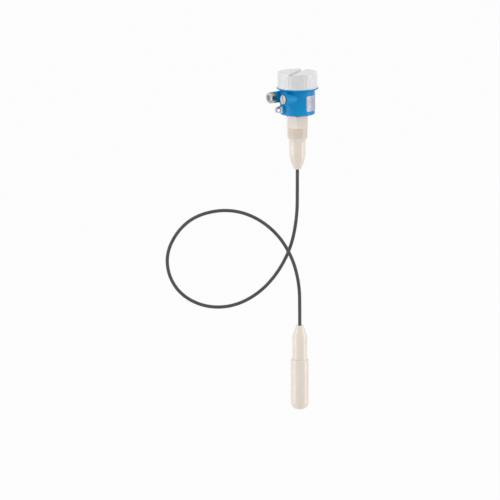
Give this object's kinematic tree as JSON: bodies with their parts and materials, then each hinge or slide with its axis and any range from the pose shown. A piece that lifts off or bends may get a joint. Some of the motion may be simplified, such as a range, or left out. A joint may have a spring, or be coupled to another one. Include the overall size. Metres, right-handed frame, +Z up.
{
  "type": "capacitive level switch",
  "caption": "Rope-type capacitive level switch: cast head with screw cover, cable gland and earth terminal, threaded process connection, looped carrying rope and probe at its lower end.",
  "frame": {"origin": "centre of the hexagon's underside, where the process thread begins", "axes": "+Z up the head's axis, away from the vessel; the two cable entries point along -X"},
  "size_m": [0.304, 0.2277, 0.805],
  "materials": {
    "housing_paint": "satin blue powder coat on cast aluminium",
    "cover_paint": "satin pale grey powder coat on cast aluminium",
    "plate_metal": "matt anodised sheet",
    "nickel": "nickel plated, bright",
    "steel": "stainless, machined",
    "seal_rubber": "matt black",
    "pale_rubber": "matt pale grey",
    "insert_plastic": "moulded",
    "terminal_plastic": "moulded",
    "control_plastic": "moulded",
    "green_lens": "clear tinted",
    "red_lens": "clear tinted",
    "board": "lacquered laminate",
    "cream_plastic": "moulded, satin",
    "rope_sheath": "satin dark grey sheath over a steel rope"
  },
  "bodies": {
    "head": {"housing": "housing_paint", "rating_plate": "plate_metal", "gland_washer": "seal_rubber", "gland_body": "nickel", "gland_insert": "pale_rubber", "insert_case": "insert_plastic", "circuit_board": "board", "insert_screws": "steel", "terminal_block": "terminal_plastic", "terminal_screws": "steel", "ready_lamp": "green_lens", "switch_lamp": "red_lens", "process_connection": "cream_plastic", "housing_seal": "seal_rubber", "housing_nut": "nickel", "upper_rope_anchor": "steel", "rope": "rope_sheath", "lower_rope_anchor": "steel", "probe_neck": "cream_plastic", "probe_body": "cream_plastic", "guard_electrode": "steel", "sensing_electrode": "steel"},
    "cover_ring": {"cover_seal": "seal_rubber"},
    "cover": {"cover": "cover_paint"},
    "gland_ring": {"gland_thrust_ring": "nickel"},
    "gland_nut": {"gland_nut": "nickel"},
    "plug_ring": {"plug_seal": "seal_rubber"},
    "plug": {"blanking_plug": "nickel"},
    "earth_clamp": {"ground_clamp": "steel", "ground_washer": "steel"},
    "earth_screw": {"ground_screw": "steel"},
    "mode_switch": {"mode_switch": "control_plastic"},
    "sensitivity_dial": {"sensitivity_dial": "control_plastic"}
  },
  "joints": [
    {"name": "cover_lift", "type": "slide", "parent": "head", "child": "cover_ring", "axis": [0, 0, 1], "range_m": [0, 0.01]},
    {"name": "cover_turn", "type": "hinge", "parent": "cover_ring", "child": "cover", "pos_m": [0, 0, 0.1], "axis": [0, 0, 1], "range_deg": [0, 1200]},
    {"name": "gland_travel", "type": "slide", "parent": "head", "child": "gland_ring", "axis": [-1, 0, 0], "range_m": [0, 0.003]},
    {"name": "gland_turn", "type": "hinge", "parent": "gland_ring", "child": "gland_nut", "pos_m": [-0.064, 0.02, 0.0738], "axis": [-1, 0, 0], "range_deg": [0, 720]},
    {"name": "plug_travel", "type": "slide", "parent": "head", "child": "plug_ring", "axis": [-1, 0, 0], "range_m": [0, 0.009]},
    {"name": "plug_turn", "type": "hinge", "parent": "plug_ring", "child": "plug", "pos_m": [-0.055, -0.02, 0.0738], "axis": [-1, 0, 0], "range_deg": [0, 2160]},
    {"name": "earth_travel", "type": "slide", "parent": "head", "child": "earth_clamp", "axis": [-1, 0, 0], "range_m": [0, 0.0024]},
    {"name": "earth_turn", "type": "hinge", "parent": "earth_clamp", "child": "earth_screw", "pos_m": [-0.05, 0, 0.047], "axis": [-1, 0, 0], "range_deg": [0, 1080]},
    {"name": "mode_slide", "type": "slide", "parent": "head", "child": "mode_switch", "axis": [1, 0, 0], "range_m": [0, 0.004]},
    {"name": "sensitivity_turn", "type": "hinge", "parent": "head", "child": "sensitivity_dial", "pos_m": [-0.01, -0.012, 0.063], "axis": [0, 0, 1], "range_deg": [0, 270]}
  ],
  "couplings": [
    {"joint": "cover_turn", "follows": "cover_lift", "rad_per_m": 2094.4},
    {"joint": "gland_turn", "follows": "gland_travel", "rad_per_m": 4188.8},
    {"joint": "plug_turn", "follows": "plug_travel", "rad_per_m": 4188.8},
    {"joint": "earth_turn", "follows": "earth_travel", "rad_per_m": 7854}
  ]
}
